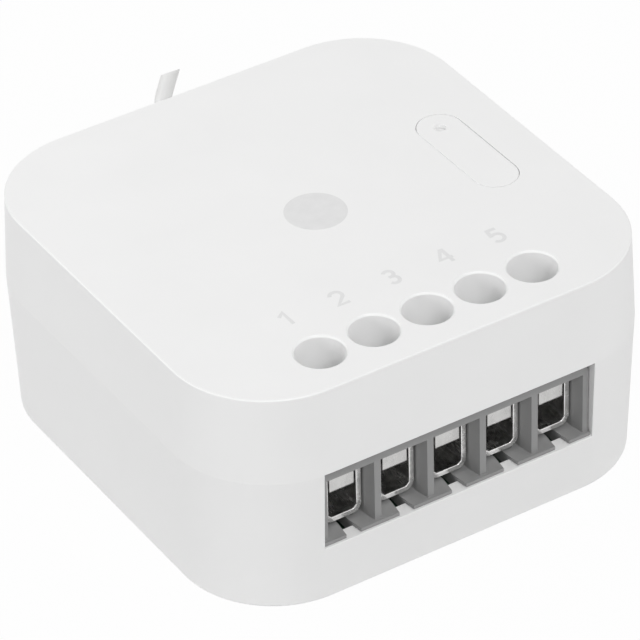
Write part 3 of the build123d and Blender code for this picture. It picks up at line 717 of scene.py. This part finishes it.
header_plastic = moulded_plastic("header_plastic", black_colour, roughness=0.45,
                                 grain_size=0.00015, grain_depth=0.000004, patch_share=0.08,
                                 patch_size=0.003)
for node in ("left_header", "right_header"):
    softened(node, "case", header_plastic, edge_round=0.00008, steps=2)

# ---------------------------------------------------------------- Control board
# The upper board carries the radio, the small switch and the status light. It is the same
# lacquered laminate as the mains board.

control_laminate = woven_laminate("control_board_green", lacquer_green, roughness=0.4)
dress_node(control_laminate, "control_board")

# ---------------------------------------------------------------- Radio module
# A thin blue-black board with a folded tin-plated can over its chips. The board is soldered
# flat on the control board, and the can to the board.

radio_colour = (0.01, 0.025, 0.06, 1.0)
tin_colour = (0.62, 0.61, 0.58, 1.0)
radio_laminate = woven_laminate("radio_board_dark", radio_colour, roughness=0.4)
tin_plate = plated_metal("tin_plate", tin_colour, roughness=0.34,
                         streak=(0.12, 1.0, 1.0), streak_size=0.0004, depth=0.000006)
dress_node(radio_laminate, "radio_board")
softened("radio_shield", "case", tin_plate, edge_round=0.0001, steps=2)

# ---------------------------------------------------------------- Small switch
# The push switch has a black body soldered to the control board. Its stem stands under the
# key's foot and springs back with it.

switch_plastic = moulded_plastic("switch_plastic", black_colour, roughness=0.42,
                                 grain_size=0.00012, grain_depth=0.000003, patch_share=0.08,
                                 patch_size=0.002)
softened("tact_switch", "case", switch_plastic, edge_round=0.00006, steps=2)
softened("tact_plunger", "plunger", switch_plastic, edge_round=0.00008, steps=2)

# ---------------------------------------------------------------- Status light
# A small surface-mounted light in milky resin under the light pin.
# The resin is cast over the chip and lets its light spread.

resin_colour = (0.82, 0.8, 0.66, 1.0)
milky_resin = moulded_plastic("milky_resin", resin_colour, roughness=0.3,
                              grain_size=0.0002, grain_depth=0.000003, patch_share=0.06,
                              patch_size=0.0008)
dress_node(milky_resin, "status_light")

# ---------------------------------------------------------------- Aerial
# A stub of white insulated wire, stripped at one end and soldered to the radio board. It leaves
# through the cover's back wall, turns up behind it and ends in a slanting snip.

jacket_colour = (0.84, 0.84, 0.835, 1.0)
wire_jacket = moulded_plastic("wire_jacket", jacket_colour, roughness=0.38,
                              grain_size=0.0003, grain_depth=0.000004, patch_share=0.02,
                              patch_size=0.002)
softened("aerial_wire", "case", wire_jacket, edge_round=0.00005, steps=2)
tinned_copper = plated_metal("tinned_copper", copper_colour, roughness=0.32,
                             streak=(1.0, 0.1, 1.0), streak_size=0.0002, depth=0.000006)
dress_node(tinned_copper, "aerial_core")

# ---------------------------------------------------------------- Key and light pin
# The key is moulded in the same white plastic and stands flush in the cover. A frosted pin
# pressed into its far end carries up the light of the lamp below, and ends under the surface.

key_half_width = 0.001975
key_half_length = 0.00605
key_wall_depth = 0.00008
key_swell = 0.00005
pin_colour = (0.87, 0.87, 0.87, 1.0)


def fitted_key(corners):
    """The key's oval wall stands out by the swell: its corners move away from the middle line.

    The middle line joins the centres of the oval's round ends, and the wall is where the way to
    it is half the key's width.
    """
    middle = (corners.min(0) + corners.max(0)) / 2
    reach = key_half_length - key_half_width
    nearest_y = np.clip(corners[:, 1], middle[1] - reach, middle[1] + reach)
    offset = corners[:, :2] - np.stack([np.full(len(corners), middle[0]), nearest_y], -1)
    distance = np.linalg.norm(offset, axis=1)
    from_wall = np.abs(distance - key_half_width + key_wall_depth / 2)
    wall = from_wall < (key_wall_depth + key_swell) / 2
    corners[wall, :2] += offset[wall] / distance[wall, None] * key_swell
    return corners


softened("button_key", "button", shell_plastic, edge_round=0.00005,
         shaped=fitted_key)
frosted_pin = moulded_plastic("frosted_pin", pin_colour, roughness=0.45,
                              grain_size=0.00015, grain_depth=0.000005, patch_share=0.03,
                              patch_size=0.001)
softened("light_guide", "button", frosted_pin, edge_round=0.00006, steps=2)

# ---------------------------------------------------------------- Top cover
# The cover is a second white moulding from the same mould grain. It drops over the tongue of the
# lower case and snaps in; five round holes lead a screwdriver to the screws.

cut_depth = 0.0002
cut_share = 0.5
cut_search = 0.0003


def slimmer_cut(corners):
    """The slanting cut round the flat top is drawn in to a share s of its width, at 45 degrees.

    Each corner u of its upper edge moves to u + (1 - s)(l - u), with l the nearest corner of its
    lower edge seen from above, and the lower edge rises by 1 - s of the cut's depth.
    """
    top = corners[:, 2].max()
    upper = np.flatnonzero(np.abs(corners[:, 2] - top) < height_slack)
    lower = np.flatnonzero(np.abs(corners[:, 2] - top + cut_depth) < height_slack)
    gaps = np.linalg.norm(corners[upper, None, :2] - corners[None, lower, :2], axis=-1)
    near_upper, near_lower = gaps.min(1) < cut_search, gaps.min(0) < cut_search
    mates = corners[lower[gaps.argmin(1)[near_upper]], :2]
    left_out = 1.0 - cut_share
    corners[upper[near_upper], :2] += left_out * (mates - corners[upper[near_upper], :2])
    corners[lower[near_lower], 2] += left_out * cut_depth
    return corners


softened("top_cover", "case", shell_plastic, edge_round=shell_edge_round,
         lines=[(seam_height, seam_share)], shaped=slimmer_cut)

# ---------------------------------------------------------------- Printed marks
# The cover is pad-printed in pale grey: a plain figure behind each screwdriver hole and a bare
# round disc in the middle. The ink stands a few thousandths of a millimetre proud.

ink_colour = (0.82, 0.82, 0.82, 1.0)
ink_thickness = 0.000008
ink_step = 0.000002
stroke_width = 0.00034
mitre_limit = 1.5
figure_height = 0.0021
figure_y = -0.0114
bow_steps = 20
disc_x, disc_y = -0.0001, -0.0002
disc_radius = 0.00265
disc_ring_share = 0.5
cover_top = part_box("top_cover")[1].z
pad_ink = moulded_plastic("pad_ink", ink_colour, roughness=0.42,
                          grain_size=0.00008, grain_depth=0.000002, patch_share=0.03,
                          patch_size=0.001)


def bow(centre, radius, start, end):
    """Points of a round bow: centre + r (cos a, sin a), with a from start to end in degrees."""
    angle = np.radians(np.linspace(start, end, bow_steps))
    return np.stack([centre[0] + radius * np.cos(angle), centre[1] + radius * np.sin(angle)], -1)


def joined(*pieces):
    """One line through all the points of the pieces."""
    return np.concatenate([np.asarray(piece, float) for piece in pieces])


figure_strokes = {
    1: [joined([(0.04, 0.74), (0.36, 1.0), (0.36, 0.0)])],
    2: [joined(bow((0.3, 0.7), 0.3, 165.0, -38.0), [(0.02, 0.0), (0.62, 0.0)])],
    3: [joined(bow((0.28, 0.76), 0.24, 150.0, -90.0), [(0.16, 0.52)]),
        bow((0.28, 0.26), 0.26, 90.0, -150.0)],
    4: [joined([(0.44, 1.04), (0.0, 0.3), (0.68, 0.3)]), joined([(0.5, 1.06), (0.5, -0.06)])],
    5: [joined([(0.56, 1.0), (0.1, 1.0), (0.04, 0.47)]), bow((0.27, 0.31), 0.31, 137.0, -145.0)],
}


def inked_stroke(line, height):
    """A flat line of ink: its edges run half the width beside the line, on each corner's mitre."""
    run = np.diff(line, axis=0)
    run /= np.linalg.norm(run, axis=1, keepdims=True)
    side = np.stack([-run[:, 1], run[:, 0]], -1)
    before, after = np.concatenate([side[:1], side]), np.concatenate([side, side[-1:]])
    mitre = (before + after) / np.linalg.norm(before + after, axis=1, keepdims=True)
    opening = np.maximum((mitre * before).sum(1), 1.0 / mitre_limit)
    mitre *= stroke_width / 2 / opening[:, None]
    left, right = line + mitre, line - mitre
    base, top = np.zeros((len(line), 1)), np.full((len(line), 1), height)
    edges = ((left, base), (right, base), (right, top), (left, top))
    return np.stack([np.hstack(edge) for edge in edges], 1)


def printed_figure(number, x):
    """A plain figure: its strokes, each a hair lower than the last, scaled to the height."""
    form = bmesh.new()
    strokes = figure_strokes[number]
    corners = np.concatenate(strokes)
    middle = (corners.min(0) + corners.max(0)) / 2
    for order, stroke in enumerate(strokes):
        line = (stroke - middle) * (figure_height - stroke_width)
        rows = inked_stroke(line, ink_thickness - ink_step * order)
        mesh = skin(rows + (x, figure_y, cover_top), f"stroke_{number}_{order}")
        form.from_mesh(mesh)
        bpy.data.meshes.remove(mesh)
    bmesh.ops.recalc_face_normals(form, faces=form.faces)
    mesh = bpy.data.meshes.new(f"figure_{number}")
    form.to_mesh(mesh)
    form.free()
    place_piece(mesh, f"figure_{number}", "case", pad_ink, smooth=False)


for number in cell_numbers:
    lowest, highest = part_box(f"clamp_screw_{number}")
    printed_figure(number, (lowest.x + highest.x) / 2)

disc_profile = [(disc_radius, 0.0), (disc_radius, ink_thickness),
                (disc_ring_share * disc_radius, ink_thickness)]
disc_mesh = turned(disc_profile, (disc_x, disc_y, cover_top), "plain_disc")
place_piece(disc_mesh, "plain_disc", "case", pad_ink, smooth=False)
